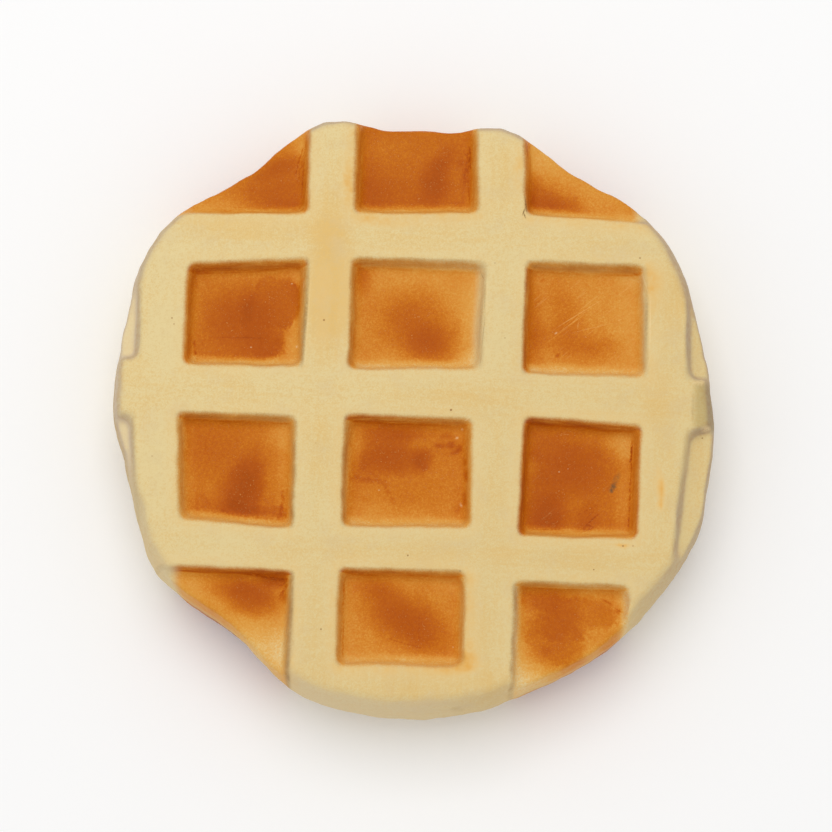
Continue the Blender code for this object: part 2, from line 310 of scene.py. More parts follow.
             "open": ("right",), "base": 0.0, "walls": (0.02, 0, 0, 0, 0), "grime": (0.36, 0, 0, 0.10)},
    (1, 3): {
        "topLeft": (0.0, -0.2), "topRight": (0.2, -0.4), "starts": 0.05,
        "open": ("left", "near"), "base": 0.40, "walls": (0, 0.30, 0, 0.86, 0.90),
        "grime": (0, 1.6, 0, 0.45),
        "soft": [
            (0.67, 0.72, 0.22, 0.18, 0.36, -18), (0.86, 0.90, 0.14, 0.08, 0.36),
            (0.44, 0.82, 0.20, 0.12, 0.16), (0.60, 0.10, 0.60, 0.30, -0.28), (0.16, 0.76, 0.14, 0.12, -0.10),
            (0.98, 0.20, 0.14, 0.36, -0.16), (0.93, 0.72, 0.04, 0.06, 0.20), (0.52, 0.93, 0.36, 0.04, 0.10)],
        "pools": [(0.05, 0.8, (0, 0), [(0.66, 0.70, 0.20, 0.18, 2.2)])],
        "strokes": [(0.90, 0.74, 0.95, 0.84, 0.20, 0.24), (0.62, 0.955, 0.93, 0.90, 0.22, 0.34)],
        "haze": (0.0, 0.07, 0.0, 0.05)},
    (2, 3): {
        "topLeft": (0.0, 0.3), "topRight": (-0.6, 0.4), "lowLeft": (0.2, -0.2),
        "lowRight": (-0.5, 0.2), "base": 0.46, "walls": (0.42, 0.34, 0.24, 0.74, 0.44),
        "grime": (0.55, 0.45, 0, 0.60),
        "soft": [
            (0.54, 0.50, 0.36, 0.20, 0.32, -38), (0.32, 0.82, 0.18, 0.12, 0.16, -20),
            (0.08, 0.46, 0.08, 0.34, -0.06), (0.16, 0.14, 0.24, 0.16, -0.06),
            (0.88, 0.86, 0.14, 0.12, -0.06), (0.72, 0.24, 0.16, 0.12, 0.06, -30),
            (0.45, 0.05, 0.5, 0.08, -0.08)],
        "pools": [(0.05, 1.2, (0, 0), [(0.57, 0.50, 0.24, 0.26, 2.2)])],
        "strokes": [(0.055, 0.10, 0.045, 0.82, 0.14, 0.24), (0.44, 0.30, 0.66, 0.22, 0.12, 0.12),
                    (0.64, 0.54, 0.645, 0.30, 0.10, 0.10), (0.20, 0.075, 0.80, 0.07, 0.12, 0.12)],
        "haze": (0.07, 0.12, 0.10, 0.05)},
    (3, 3): {
        "topLeft": (-0.3, -0.8), "topRight": (-1.4, -0.9), "lowLeft": (-0.35, 0.0),
        "lowRight": (-0.9, 0.0),
        "open": ("near",), "base": 0.44, "walls": (0.10, 0.10, 0, 0.44, 0.24),
        "grime": (1.1, 0.12, 0, 0.50),
        "soft": [
            (0.26, 0.84, 0.26, 0.14, 0.20), (0.40, 0.44, 0.20, 0.36, 0.14), (0.00, 0.10, 0.14, 0.50, -0.18),
            (1.00, 0.72, 0.10, 0.34, -0.34), (0.60, -0.12, 0.60, 0.20, -0.26),
            (0.08, -0.10, 0.24, 0.26, -0.18), (0.70, 0.22, 0.10, 0.14, -0.12),
            (0.90, 0.72, 0.025, 0.03, 0.26), (0.62, 0.68, 0.26, 0.14, 0.07), (0.30, 0.26, 0.05, 0.05, 0.10),
            (0.60, 0.44, 0.14, 0.08, -0.05, 30)],
        "pools": [(0.10, 0.7, (0, 0), [(0.38, 0.38, 0.22, 0.36, 2.2)]),
                  (0.10, 0.45, (0.1, 0), [(0.66, 0.68, 0.25, 0.16, 2.4), (0.42, 0.62, 0.26, 0.24, 2.2)])],
        "strokes": [(0.78, 0.84, 0.92, 0.72, 0.14, 0.14), (0.28, 0.72, 0.31, 0.62, 0.14, 0.14)],
        "haze": (0.03, 0.05, 0.0, 0.05)},
}

# The cream face isn't even either: warmer and paler places, as x, y and reach both ways in mm, and
# strength.
warmPlaces = [
    (-14.5, 20.0, 4.0, 11.0, 1.6), (-14.8, 34.0, 3.5, 6.0, 0.35), (13.6, 40.0, 3.0, 7.0, 0.30),
    (-25.0, 29.5, 14.0, 2.5, 0.55), (26.0, 29.0, 12.0, 2.5, 0.25), (2.0, 28.8, 9.0, 2.5, 0.35),
    (0.0, -44.0, 22.0, 4.0, 0.45), (12.5, -36.0, 3.0, 7.0, 0.40), (40.5, 3.0, 3.0, 9.0, 0.50),
    (41.0, -13.0, 2.5, 8.0, 0.30), (3.0, 2.2, 14.0, 2.2, 0.30), (-30.0, 2.0, 7.0, 2.0, 0.12),
    (-1.0, -23.8, 20.0, 2.2, 0.38), (29.0, -24.0, 9.0, 2.0, 0.30), (41.0, 20.0, 3.0, 8.0, 0.35),
    (-41.5, 14.0, 3.0, 10.0, -0.45), (-41.5, -10.0, 3.0, 9.0, -0.45), (13.6, 14.0, 2.5, 9.0, -0.2),
    (-15.0, -12.0, 2.5, 9.0, 0.15), (13.6, -12.0, 2.5, 9.0, 0.25), (-15.0, -36.0, 3.0, 7.0, 0.1),
]

# Breaths and dabs of paint that strayed onto the ribs: pixel of the picture, reach both ways in mm,
# and density.
dabs = [(658.5, 479, 0.7, 2.6, 0.10), (661.5, 494, 0.7, 3.0, 0.16), (659.5, 506, 0.5, 1.3, 0.09),
        (652, 276, 3.0, 3.4, 0.05), (657, 294, 2.0, 3.4, 0.05), (518, 168, 1.3, 4.0, 0.08),
        (380, 222, 7.0, 1.2, 0.05), (324, 290, 1.6, 5.0, 0.08), (322, 330, 1.4, 4.0, 0.06),
        (452, 666, 6.0, 1.3, 0.08), (467, 657, 3.0, 2.4, 0.07), (347, 184, 1.1, 4.0, 0.07),
        (622, 546, 1.3, 0.4, 0.22)]

# the wells of the underside, each figure drawn between its least and its most
underPaint = {
    "base": (0.44, 0.62), "softSpots": 5, "pools": 2,
    "softSpot": [(0.2, 0.8), (0.2, 0.8), (0.15, 0.32), (0.12, 0.28), (-0.10, 0.34)],
    "poolSpot": [(0.3, 0.7), (0.3, 0.7), (0.2, 0.34), (0.14, 0.26), (2.1, 4)],
    "slant": [(-0.4, 0.4), (-0.4, 0.4)], "densityAndEdge": [(0.06, 0.20), (0.3, 0.9)],
}

# where paint comes in or fades: across a well, in reaches of a soft spot, warm place or dab, or in mm
fades = {
    "starts": (-0.07, 0.05), "ends": (-0.06, 0.06), "soft": (0.1, 1.6),
    "scratches": (0.6, 1.8), "pool": (0.7, 1.5), "strokeEnd": (0.0, 0.8), "strokeSide": (0.9, 1.6),
    "hazeIn": (-1.2, 0.2), "hazeOut": (0.0, 3.2), "hazeAlong": (-2.0, 1.5),
    "warmPlace": (0.2, 1.5), "dab": (0.2, 1.3), "dabsAbove": 15,
    "height": (6.0, 14.5),     # paint that runs down the rim, by the height from the other face
}

# the bare rim, by places in mm, with x to the right and y away: painted shade where its side rolls over, and
# painted light on its near side and in the left slots
rimPaint = {
    "outward": (44.0, 46.5), "lean": (0.40, 0.98),        # where the face rolls over, and how steeply
    "nearSide": (10.0, 40.0), "nearKeeps": 0.8,           # the near side has less painted shade
    "left": (30.0, 45.0), "leftKeeps": 0.2,
    "nearLeft": ((5.0, 20.0), (25.0, 38.0)), "nearLeftKeeps": 0.45,
    "above": (6.0, 13.5), "near": (0.0, 15.0),            # the other sides are cream again lower down
    "ribEnd": ((-2.2, -0.6), (5.4, 7.0)), "ribEndShade": 0.7,      # the rib between the right slots, with painted shade on its end
    "ribEndFrom": (47.2, 48.6), "khakiFrom": (45.2, 46.4),
    # painted light: the near side of the rim and the floors of the left slots are made lighter
    "paintedLight": 0.5, "paintedLightRight": (0.0, 15.0), "paintedLightRightKeeps": 0.8,
    "slotFrom": (45.2, 46.4), "slotBelow": (17.6, 18.6), "slotAbove": (15.0, 17.0), "slotLight": 0.7,
    "dim": (-55.0, 45.0),                                 # the picture darkens a little to the near right
    "ribs": ((25.4, 32.2), (-1.2, 6.0), (-26.4, -20.4)),  # the ribs that run across, near and far edge
}


def wellCorners(place, notes):
    left, right = grid["columns"][place[0]]
    near, far = grid["rows"][place[1]]
    corners = []
    for name, x, y in (("lowLeft", left, near), ("lowRight", right, near),
                       ("topRight", right, far), ("topLeft", left, far)):
        shiftX, shiftY = notes.get(name, (0.0, 0.0))
        corners.append((x + shiftX, y + shiftY))
    return corners


def wellShares(corners, x, y):
    # how far across and up the well each point lies, and the well's width and height there
    lowLeft, lowRight, topRight, topLeft = corners
    up = (y - lowLeft[1]) / (topLeft[1] - lowLeft[1])
    for attempt in range(3):
        rise = np.clip(up, -0.5, 1.5)
        left = lowLeft[0] + (topLeft[0] - lowLeft[0]) * rise
        right = lowRight[0] + (topRight[0] - lowRight[0]) * rise
        across = (x - left) / (right - left)
        share = np.clip(across, -0.5, 1.5)
        near = lowLeft[1] + (lowRight[1] - lowLeft[1]) * share
        far = topLeft[1] + (topRight[1] - topLeft[1]) * share
        up = (y - near) / (far - near)
    return across, up, right - left, far - near


def drawn(ranges):
    return tuple(random.uniform(*limits) for limits in ranges)


def underWell(notes):
    # the underside has the same wells, and paint of its own
    if not notes["base"]:
        return notes
    soft = [drawn(underPaint["softSpot"]) for i in range(underPaint["softSpots"])]
    pools = []
    for i in range(underPaint["pools"]):
        spot, slant = drawn(underPaint["poolSpot"]), drawn(underPaint["slant"])
        pools.append((*drawn(underPaint["densityAndEdge"]), slant, [spot]))
    return {**notes, "base": random.uniform(*underPaint["base"]), "soft": soft, "pools": pools, "strokes": []}


def paintFace(layers, chosen, x, y, reach, recipes):
    # fills the paint layers of one face, whose points are chosen, well by well
    for place, notes in recipes.items():
        across, up, width, height = wellShares(wellCorners(place, notes), x, y)
        openSides = notes.get("open", ())
        far = np.full(len(x), 99.0)
        gaps = {"left": across * width, "right": (1 - across) * width,
                "near": up * height, "far": (1 - up) * height}
        for side in openSides:
            gaps[side] = far
        inX = np.minimum(gaps["left"], gaps["right"])
        inY = np.minimum(gaps["near"] - grid["nearLip"], gaps["far"])
        turn = grid["corner"]
        rounded = turn - np.hypot(np.maximum(turn - inX, 0), np.maximum(turn - inY, 0))
        inside = np.where(rounded < turn, rounded, np.minimum(inX, inY))
        touched = inside > -3.0
        if not touched.any():
            continue
        density = np.full(len(x), notes["base"])
        for middleU, middleV, reachU, reachV, strength, *lean in notes.get("soft", ()):
            turned = math.radians(lean[0]) if lean else 0.0
            offU, offV = across - middleU, up - middleV
            gap = np.hypot((offU * math.cos(turned) + offV * math.sin(turned)) / reachU,
                           (offV * math.cos(turned) - offU * math.sin(turned)) / reachV)
            density += strength * (1 - ease(*fades["soft"], gap))
        left, right, near, farLeft, farRight = notes["walls"]
        tones = {"left": left, "right": right, "near": near,
                 "far": farLeft + (farRight - farLeft) * np.clip(across, 0, 1)}
        here = chosen[touched]
        started = ease(*fades["starts"], across - notes.get("starts", -9.0))
        started = started * (1 - ease(*fades["ends"], across - notes.get("ends", 9.0)))
        if "bare" in notes:
            started = started * ease(*notes["bare"], gaps["right"])
        values = {"paint": np.maximum(density, 0.0), "inside": inside, "reach": reach,
                  "covered": started * (notes["base"] > 0),
                  "scratches": notes.get("scratches", 0.0) * ease(*fades["scratches"], inside)}
        # each wall's gap from its lip, its tone of paint and its grey of painted shade
        for side, shadeAmount in zip(sides, notes["grime"]):
            bandScale = grid["farBand"][place[1]] if side == "far" else 1.0
            values[side] = np.clip(gaps[side] * bandScale, -3.0, 6.0)
            values[side + "Tone"] = tones[side]
            values[side + "Shade"] = shadeAmount
        for name, value in values.items():
            layers[name][here] = np.broadcast_to(value, len(x))[touched]

        # overspray on the ribs beside the well
        leftHaze, rightHaze, nearHaze, farHaze = notes.get("haze", (0, 0, 0, 0))
        alongY, alongX = ease(*fades["hazeAlong"], inY), ease(*fades["hazeAlong"], inX)
        for side, strength, along in (("left", leftHaze, alongY), ("right", rightHaze, alongY),
                                      ("near", nearHaze, alongX), ("far", farHaze, alongX)):
            out = -gaps[side]
            fade = np.where(out < 0, ease(*fades["hazeIn"], out), 1 - ease(*fades["hazeOut"], out))
            layers["haze"][chosen] += strength * fade * along * reach

        for channel, pool in zip(("poolOne", "poolTwo"), notes.get("pools", ())):
            gain, softness, (growU, growV), spots = pool
            joined = np.zeros(len(x))
            for middleU, middleV, reachU, reachV, corner in spots:
                gap = (np.abs((across - middleU) / reachU) ** corner
                       + np.abs((up - middleV) / reachV) ** corner) ** (1 / corner)
                depth = (1 - gap) * np.minimum(reachU * width, reachV * height)
                joined += np.exp(np.clip(3 * depth, -30, 30))
            depth = np.maximum(np.log(joined + 1e-12) / 3, -6.0)
            middleU, middleV, reachU, reachV = spots[0][:4]
            grown = 1 + growU * (across - middleU) / reachU + growV * (up - middleV) / reachV
            gain = gain * np.clip(grown, 0.0, 1.7) * ease(*fades["pool"], inside)
            layers[channel][here] = depth[touched]
            layers[channel + "Gain"][here] = (gain * reach)[touched]
            layers[channel + "Edge"][here] = softness

        best = np.full(len(x), 9.0)
        for startU, startV, endU, endV, halfWidth, strength in notes.get("strokes", ()):
            runX, runY = (endU - startU) * width, (endV - startV) * height
            length = np.hypot(runX, runY)
            offX, offY = (across - startU) * width, (up - startV) * height
            along = (offX * runX + offY * runY) / length
            side = (offX * runY - offY * runX) / length
            past = np.maximum(np.maximum(-along, along - length), 0)
            gap = np.hypot(side, past)
            nearer = (gap < best) & (gap < fades["strokeSide"][1])
            best = np.where(nearer, gap, best)
            gain = strength * (1 - ease(*fades["strokeEnd"], past))
            gain *= 1 - ease(*fades["strokeSide"], np.abs(side))
            here = chosen[nearer]
            layers["strokeSide"][here] = (side / halfWidth)[nearer]
            layers["strokeGain"][here] = (gain * reach)[nearer]


points = np.zeros(len(waffle.data.vertices) * 3)
waffle.data.vertices.foreach_get("co", points)
points = points.reshape(-1, 3)
points[:, 2] = np.maximum(points[:, 2], 0.0)     # it lies flat on the floor
waffle.data.vertices.foreach_set("co", points.ravel())
waffle.data.update()
x, y, z = (points / mm).T
lean = np.zeros(len(points) * 3)
waffle.data.vertex_normals.foreach_get("vector", lean)
lean = np.abs(lean.reshape(-1, 3)[:, 2])
layers = {name: np.zeros(len(x)) for name in (
    "paint", "haze", "covered", "reach", "poolOneGain", "poolTwoGain", "strokeGain", "warmth", "ribAcross",
    "rim", "paintedLight", "khaki", "dim", "scratches", "poolOneEdge", "poolTwoEdge")}
for side in sides:
    layers[side] = np.full(len(x), -3.0)
    layers[side + "Tone"], layers[side + "Shade"] = np.zeros(len(x)), np.zeros(len(x))
layers["inside"] = np.full(len(x), -3.0)
layers.update({name: np.full(len(x), -6.0) for name in ("poolOne", "poolTwo")})
layers["strokeSide"] = np.full(len(x), 9.0)

upper, lower = np.flatnonzero(z > thickness / 2), np.flatnonzero(z <= thickness / 2)
paintFace(layers, upper, x[upper], y[upper], ease(*fades["height"], z[upper]), wells)
paintFace(layers, lower, x[lower], y[lower], ease(*fades["height"], thickness - z[lower]),
          {place: underWell(notes) for place, notes in wells.items()})
for middleX, middleY, reachX, reachY, strength in warmPlaces:
    gap = np.hypot((x - middleX) / reachX, (y - middleY) / reachY)
    layers["warmth"] += strength * (1 - ease(*fades["warmPlace"], gap))

# painted shade darkens and cools the rolled side of the rim, less on the near and left sides; painted light
# brightens the near side and the left slots
rolled = ease(*rimPaint["outward"], np.hypot(x, y)) * (1 - ease(*rimPaint["lean"], lean))
nearSide = ease(*rimPaint["nearSide"], -y)
painted = ease(-0.5, 0.5, layers["inside"]) * layers["covered"] * layers["reach"]
layers["rim"] = rolled * (1 - rimPaint["nearKeeps"] * nearSide) * (1 - painted)
layers["rim"] *= 1 - rimPaint["leftKeeps"] * ease(*rimPaint["left"], -x)
nearY, leftX = rimPaint["nearLeft"]
layers["rim"] *= 1 - rimPaint["nearLeftKeeps"] * ease(*nearY, -y) * ease(*leftX, -x)
layers["rim"] *= np.maximum(ease(*rimPaint["above"], z), ease(*rimPaint["near"], -y))
low, high = rimPaint["ribEnd"]
ribEnd = ease(*low, y) * (1 - ease(*high, y))
layers["rim"] = np.maximum(layers["rim"], rimPaint["ribEndShade"] * ribEnd * ease(*rimPaint["ribEndFrom"], x))
layers["khaki"] = ribEnd * ease(*rimPaint["khakiFrom"], x)
layers["paintedLight"] = rimPaint["paintedLight"] * rolled * nearSide * (1 - painted)
layers["paintedLight"] *= 1 - rimPaint["paintedLightRightKeeps"] * ease(*rimPaint["paintedLightRight"], x)
leftSlots = ease(*rimPaint["slotFrom"], -x) * ease(*rimPaint["slotAbove"], z)
leftSlots *= 1 - ease(*rimPaint["slotBelow"], z)
layers["paintedLight"] = np.maximum(layers["paintedLight"], rimPaint["slotLight"] * leftSlots)
layers["dim"] = ease(*rimPaint["dim"], 0.8 * x - y)
for pixelX, pixelY, reachX, reachY, strength in dabs:
    spot = onFace(pixelX, pixelY)
    gap = np.hypot((x - spot.x) / reachX, (y - spot.y) / reachY)
    layers["haze"] += strength * (1 - ease(*fades["dab"], gap)) * (z > fades["dabsAbove"])
for near, far in rimPaint["ribs"]:
    across = ease(near - 1, near + 1, y) * (1 - ease(far - 1, far + 1, y))
    layers["ribAcross"] = np.maximum(layers["ribAcross"], across)
for name, values in layers.items():
    layer = waffle.data.attributes.new(name, "FLOAT", "POINT")
    layer.data.foreach_set("value", values.astype(np.float32))
raiseWaves(waffle, slab["drift"])
print("stage: paint laid in the wells")


# the finish of the waffle

rubber = bpy.data.materials.new("painted_cream_rubber")
rubber.use_nodes = True
tree = rubber.node_tree


def addNode(kind, **settings):
    made = tree.nodes.new(kind)
    for key, value in settings.items():
        setattr(made, key, value)
    return made


def feed(socket, value):
    if isinstance(value, bpy.types.NodeSocket):
        tree.links.new(value, socket)
    else:
        socket.default_value = value


def calc(operation, *values):
    made = addNode("ShaderNodeMath", operation=operation)
    for number, value in enumerate(values):
        feed(made.inputs[number], value)
    return made.outputs[0]


def plus(total, *values):
    for value in values:
        total = calc("ADD", total, value)
    return total


def times(total, *values):
    for value in values:
        total = calc("MULTIPLY", total, value)
    return total


def spread(value, low, high, newLow=0.0, newHigh=1.0, smooth=False):
    made = addNode("ShaderNodeMapRange", interpolation_type="SMOOTHSTEP" if smooth else "LINEAR")
    for number, item in enumerate((value, low, high, newLow, newHigh)):
        feed(made.inputs[number], item)
    return made.outputs[0]


def closeTo(middle, value, inner, outer, smooth=True):
    # 1 where the value is within inner of the middle, 0 where it is beyond outer
    gap = calc("ABSOLUTE", calc("SUBTRACT", value, middle))
    return calc("SUBTRACT", 1.0, spread(gap, inner, outer, smooth=smooth))


def moved(point, values, kind="POINT"):
    made = addNode("ShaderNodeMapping", vector_type=kind)
    feed(made.inputs["Vector"], point)
    for name, value in values.items():
        made.inputs[name].default_value = value
    return made.outputs[0]


def grain(size, detail, rough, stretch=None, lean=0.0):
    # noise from 0 to 1, whose lumps are about size mm across
    point = place
    if lean:
        point = moved(point, {"Rotation": (0.0, 0.0, math.radians(lean))})
    if stretch:
        point = moved(point, {"Scale": stretch})
    made = addNode("ShaderNodeTexNoise")
    made.inputs["Scale"].default_value = 1 / (size * mm)
    made.inputs["Detail"].default_value = detail
    made.inputs["Roughness"].default_value = rough
    feed(made.inputs["Vector"], point)
    return made.outputs["Fac"]


def swings(name):
    # noises that each swing about nothing, by the amounts that finish["swings"] gives, added up
    amounts = finish["swings"][name]
    total = -sum(amounts.values()) / 2
    for kind, amount in amounts.items():
        total = calc("MULTIPLY_ADD", noise[kind], amount, total)
    return total


def layerOf(name):
    return addNode("ShaderNodeAttribute", attribute_name=name).outputs["Fac"]


def blendColours(share, first, second, kind="MIX"):
    made = addNode("ShaderNodeMix", data_type="RGBA", blend_type=kind)
    feed(made.inputs[0], share)
    feed(made.inputs[6], first)
    feed(made.inputs[7], second)
    return made.outputs[2]


finish = {
    # the blue-grey of the rim and the greys of the walls and slots are painted shade, and the light cream of
    # the near rim and slots, the glints and the pale lines are painted highlights
    "tints": {"paleCream": (228, 207, 152), "warmCream": (227, 189, 117), "dustyCream": (219, 196, 150),
              "shadeCream": (217, 190, 134), "rimStreak": (214, 176, 124), "rimTint": (221, 220, 246),
              "khakiTint": (226, 224, 214), "chalkCream": (233, 214, 176), "dimTint": (249, 247, 244),
              "fleck": (230, 166, 90), "grimeTint": (116, 92, 70), "slotShadeTint": (134, 118, 92),
              "speck": (140, 80, 30), "scratch": (244, 190, 112), "glint": (246, 214, 160),
              "soot": (92, 80, 56), "brown": (120, 84, 44), "pale": (243, 214, 160),
              "stain": (150, 118, 66), "dusk": (172, 134, 88)},
    # the paint, from a breath of overspray to the darkest pools, by its density
    "paintSteps": [(0.00, (229, 204, 150)), (0.10, (229, 191, 123)), (0.22, (226, 174, 92)),
                   (0.34, (222, 160, 72)), (0.44, (218, 148, 57)), (0.55, (211, 131, 38)),
                   (0.66, (201, 114, 21)), (0.80, (188, 96, 12)), (0.95, (178, 84, 8)),
                   (1.15, (164, 74, 5))],
    "mostPaint": 1.2, "thicker": 1.12, "atLeast": 0.03, "hazeHides": 0.16,
    # each noise: the size of its lumps in mm, its detail and roughness, its stretch and its lean
    "noise": {"broad": (8.0, 2.0, 0.5), "drift": (5.5, 1.0, 0.5), "dusty": (5.0, 3.0, 0.6),
              "patches": (3.2, 2.0, 0.5), "lumps": (2.2, 4.0, 0.6), "fine": (0.55, 3.0, 0.6),
              "crumbs": (0.38, 2.0, 0.5), "dust": (0.26, 2.0, 0.6),
              "brushedX": (0.8, 3.0, 0.6, (0.12, 1.0, 1.0)),
              "brushedY": (0.8, 3.0, 0.6, (1.0, 0.12, 1.0)),
              "scratches": (0.35, 2.0, 0.5, (0.07, 1.0, 1.0), -42)},
    # how far noises move edges in mm, and then tones, densities and the rest
    "swings": {"edge": {"lumps": 0.24, "dust": 0.24}, "pool": {"lumps": 1.7, "fine": 0.5},
               "drift": {"drift": 4.0}, "mark": {"lumps": 1.2},
               "alongX": {"brushedX": 1.3}, "alongY": {"brushedY": 1.3},
               "density": {"lumps": 0.16, "fine": 0.18, "dust": 0.46},
               "warmth": {"brushed": 0.9, "fine": 0.9, "dust": 1.9}, "rough": {"fine": 0.16},
               "relief": {"fine": 0.5, "dust": 0.25, "brushed": 0.45, "lumps": 0.5, "holes": -1.2}},
    # edges in mm from a lip, a pool's edge or a stroke's middle
    "paintEdge": (-0.32, 0.50), "grimeEdge": (-0.6, 0.0), "edgeSoftness": (2.6, 0.7),
    "wetEdge": 0.45, "wetEdgeGain": 0.35, "strokeEdge": (0.3, 1.7), "lipDepth": 1.2,
    "footAt": 1.42, "footEdge": (0.04, 0.24), "footGain": 0.10,
    "markEdge": (0.3, 1.2), "markHeight": 4, "leastWorn": 0.45,          # in reaches, then mm
    # each wall: where its tone takes over, the band of painted shade on it as middle, inner and outer, how
    # ragged it is, and how thin the tone is at the lip
    "walls": {"near": {"edge": (1.0, 2.9), "shadeBand": (0.4, 0.1, 0.5), "ragged": 1.0, "lip": 0.6},
              "left": {"edge": (0.5, 1.8), "shadeBand": (0.30, 0.05, 0.80), "ragged": 1.0, "lip": 0.8},
              "right": {"edge": (0.4, 1.5), "shadeBand": (0.12, 0.12, 0.80), "ragged": 0.7, "lip": 0.8},
              "far": {"edge": (1.15, 1.62), "shadeBand": (0.45, 0.40, 0.95), "ragged": 0.9, "lip": 0.6}},
    "roughCream": 0.62, "roughPaint": 0.46, "gloss": 0.07,
    # which part of a noise shows, as spread takes it: from, to, and the least and the most it gives
    "parts": {"patchy": (0.38, 0.62), "strokes": (0.35, 0.60, 0.1, 1.3), "haze": (0.3, 0.7, 0.6, 1.4),
              "dusty": (0.52, 0.75, 0.0, 0.5), "grainy": (0.46, 0.64, 0.0, 0.5),
              "streaky": (0.48, 0.62, 0.0, 0.55), "flecks": (0.60, 0.72),
              "fleckPlaces": (0.35, 0.6, 0.1, 0.55), "scratches": (0.60, 0.70),
              "scratchPlaces": (0.42, 0.62), "grime": (0.3, 0.7, 0.12, 0.36), "crumbs": (0.40, 0.56)},
    # casting pinholes: how many to a metre, the share that shows, their size in cells, and their tone
    "holes": 230.0, "holeShare": 0.80, "holeSize": (0.025, 0.065), "holeTone": 0.6,
    "scratchGain": 0.24, "reliefDepth": 0.12, "reliefStrength": 0.55,     # the depth in mm
    # specks on the face, by the pixel of the picture where they show: x, y, radius in mm, strength
    "specks": [(172, 318, 0.16, 0.8), (174, 324, 0.13, 0.7), (324, 320, 0.17, 0.8),
               (502, 333, 0.13, 0.6), (505, 338, 0.12, 0.6), (640, 258, 0.18, 0.6),
               (641, 365, 0.15, 0.6), (451, 410, 0.20, 0.9), (316, 443, 0.13, 0.6),
               (152, 456, 0.14, 0.6), (700, 431, 0.18, 0.6), (623, 546, 0.16, 0.7),
               (633, 546, 0.13, 0.6)],
    # marks and scratches: pixel, reach both ways in mm, degrees they lean, strength, tint, and the
    # height in mm of what they lie on. The glints and the pale lines along lips and slot walls are
    # painted highlights; the brown lines along lips, the dusky band on a right wall and the dark line
    # down the right rib end are painted shade; the soot smudge, the scratches, the brown squiggle and
    # the stain on the near rim are marks on the toy.
    "marks": [(615.5, 481, 0.55, 1.5, -24, 0.42, "soot", 17), (612.5, 488, 0.55, 0.85, -38, 0.80, "soot", 17),
              (612, 491, 0.28, 0.42, -20, 0.75, "soot", 17),
              (292, 284, 0.20, 0.14, 10, 0.8, "glint", 17), (297, 347, 0.20, 0.30, -12, 0.85, "glint", 17),
              (251, 347, 0.14, 0.12, 0, 0.6, "glint", 17), (304, 287, 0.10, 0.9, -4, 0.6, "glint", 18),
              (379, 490, 0.16, 0.10, 0, 0.5, "glint", 17), (457, 438, 0.30, 0.22, 30, 0.5, "glint", 17),
              (462, 430, 0.25, 0.20, -30, 0.5, "glint", 17), (461, 505, 0.22, 0.4, 20, 0.45, "glint", 17),
              (467, 420, 0.5, 0.16, 35, 0.5, "glint", 19), (559, 472, 0.16, 0.12, 0, 0.6, "glint", 17),
              (568, 469, 0.14, 0.10, 0, 0.5, "glint", 17), (610, 585, 0.2, 0.2, 0, 0.3, "glint", 17),
              (556, 333, 0.30, 0.17, 40, 0.55, "glint", 17), (577, 315, 4.6, 0.07, 34, 0.55, "scratch", 17),
              (572, 323, 3.4, 0.06, 37, 0.42, "scratch", 17), (590, 302, 3.2, 0.06, 40, 0.30, "scratch", 17),
              (592, 328, 4.4, 0.07, 16, 0.30, "scratch", 17), (620, 320, 0.5, 0.10, 25, 0.5, "scratch", 17),
              (578, 325, 0.10, 0.7, -6, 0.35, "scratch", 17), (453, 647, 0.12, 0.12, 0, 0.5, "glint", 17),
              (305.4, 318, 0.38, 8.0, -1.5, 0.36, "brown", 20), (308, 320, 0.14, 7.0, -1.5, 0.45, "pale", 20),
              (482.3, 273, 0.08, 1.15, 22, 0.50, "brown", 20), (484.9, 296, 0.07, 2.7, 0, 0.42, "brown", 20),
              (483.5, 331, 0.07, 3.4, -4, 0.38, "brown", 20), (481, 358, 0.07, 1.4, -9, 0.30, "brown", 20),
              (487, 300, 0.10, 4.0, 0, 0.45, "pale", 20), (481, 318, 0.26, 6.0, -2, 0.22, "brown", 20),
              (646, 285, 0.10, 2.4, 17, 0.45, "pale", 20), (650.2, 325, 0.11, 5.0, 0, 0.60, "pale", 20),
              (648.5, 363, 0.10, 1.6, -12, 0.45, "pale", 20), (646.6, 318, 0.32, 6.0, 0, 0.28, "brown", 20),
              (525.8, 204, 0.17, 1.5, 8, 0.85, "brown", 20), (524, 211, 0.13, 0.9, -18, 0.85, "brown", 20),
              (524.8, 216, 0.15, 0.6, 20, 0.8, "brown", 20), (289, 640, 1.0, 9.0, -1, 0.50, "dusk", 18),
              (456, 709.5, 1.3, 0.35, 4, 0.35, "stain", 13),
              (692.6, 406, 0.25, 3.2, 0, 0.25, "stain", 20), (699, 383, 1.1, 0.7, 12, 0.45, "pale", 19),
              (706, 429.5, 0.9, 0.55, 8, 0.60, "pale", 18), (701, 379, 0.9, 0.35, 3, 0.45, "pale", 18)],
}


def paintColour(density):
    ramp = addNode("ShaderNodeValToRGB")
    stops = ramp.color_ramp.elements
    for number in range(len(finish["paintSteps"]) - 2):
        stops.new(1.0)
    for stop, (amount, tint) in zip(stops, finish["paintSteps"]):
        stop.position = amount / finish["mostPaint"]
        stop.color = linear(*tint)
    feed(ramp.inputs[0], calc("DIVIDE", density, finish["mostPaint"]))
    return ramp.outputs["Color"]


place = addNode("ShaderNodeTexCoord").outputs["Object"]
noise = {name: grain(*kind) for name, kind in finish["noise"].items()}
lumps, fine, dust = noise["lumps"], noise["fine"], noise["dust"]
parts = finish["parts"]
tints = {name: linear(*values) for name, values in finish["tints"].items()}

